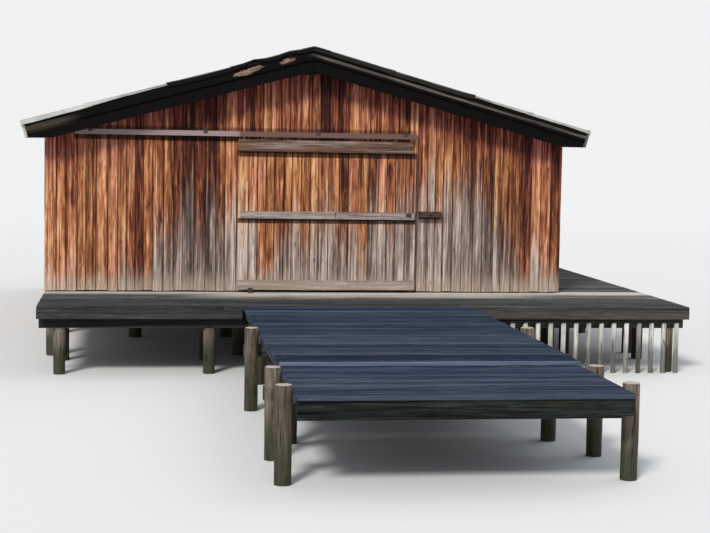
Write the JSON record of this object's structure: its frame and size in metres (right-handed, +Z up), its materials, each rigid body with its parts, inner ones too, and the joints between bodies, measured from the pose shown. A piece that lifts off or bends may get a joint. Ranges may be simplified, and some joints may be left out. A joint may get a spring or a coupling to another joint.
{
  "type": "timber boathouse with sliding door and jetty",
  "caption": "Gabled boathouse of upright boards on piles, with a sliding door, a wet slip inside, a front platform, a side walkway and a jetty.",
  "frame": {"origin": "under the middle of the whole structure's box, at the water level where the piles end", "axes": "+Z up, +Y from the shore end of the jetty towards the lake, +X to the right as seen from the shore"},
  "size_m": [7.9168, 16.921, 3.852],
  "materials": {
    "cladding_boards": "weathered, stained red-brown, greyed towards its foot",
    "door_timber": "weathered orange-brown, bleached towards its foot",
    "frame_timber": "sawn, dull",
    "floor_timber": "worn grey-brown planks",
    "deck_timber": "weathered dark slate grey planks",
    "deck_frame_timber": "dark, damp",
    "pile_timber": "round logs, dark and damp",
    "pole_timber": "peeled poles, pale",
    "roofing_felt": "mineral felt, pale grey, matt",
    "roof_boards": "sawn",
    "verge_boards": "black-brown tar stain",
    "eave_trim": "pale grey, weathered",
    "track_steel": "faded grey-pink paint, chalky",
    "rusty_steel": "rusted dark brown",
    "roller_steel": "dull, greasy"
  },
  "bodies": {
    "house": {"house_piles": "pile_timber", "floor_beams": "frame_timber", "floor_joists": "frame_timber", "landing_floor": "floor_timber", "slip_walks": "floor_timber", "wall_posts": "frame_timber", "wall_plates": "frame_timber", "wall_girts": "frame_timber", "tie_beams": "frame_timber", "king_posts": "frame_timber", "knee_braces": "frame_timber", "ridge_beam": "frame_timber", "rafters": "frame_timber", "front_wall_left": "cladding_boards", "front_wall_right": "cladding_boards", "front_gable": "cladding_boards", "left_wall": "cladding_boards", "right_wall": "cladding_boards", "rear_wall_left": "cladding_boards", "rear_wall_right": "cladding_boards", "rear_gable": "cladding_boards", "roof_boards": "roof_boards", "roof_felt": "roofing_felt", "ridge_cap": "roofing_felt", "bargeboards": "verge_boards", "eave_boards": "eave_trim", "door_track": "track_steel", "track_brackets": "rusty_steel", "door_guide": "rusty_steel", "hasp_block": "cladding_boards", "hasp_leaf": "rusty_steel", "platform_deck": "deck_timber", "walkway_deck": "deck_timber", "jetty_deck": "deck_timber", "shore_stage": "deck_timber", "deck_joists": "deck_frame_timber", "deck_crossbeams": "deck_frame_timber", "deck_piles": "pile_timber", "shore_riser": "deck_frame_timber", "palisade": "pole_timber"},
    "door": {"door_boards": "door_timber", "door_ledges": "door_timber", "door_trolleys": "roller_steel", "hasp_staple": "rusty_steel"},
    "hasp": {"hasp_strap": "rusty_steel"}
  },
  "joints": [
    {"name": "door_slide", "type": "slide", "parent": "house", "child": "door", "axis": [-1, 0, 0], "range_m": [0, 1.95]},
    {"name": "hasp_hinge", "type": "hinge", "parent": "house", "child": "hasp", "pos_m": [0.95842, -0.936, 1.785], "axis": [0, 0, -1], "range_deg": [0, 180]}
  ]
}
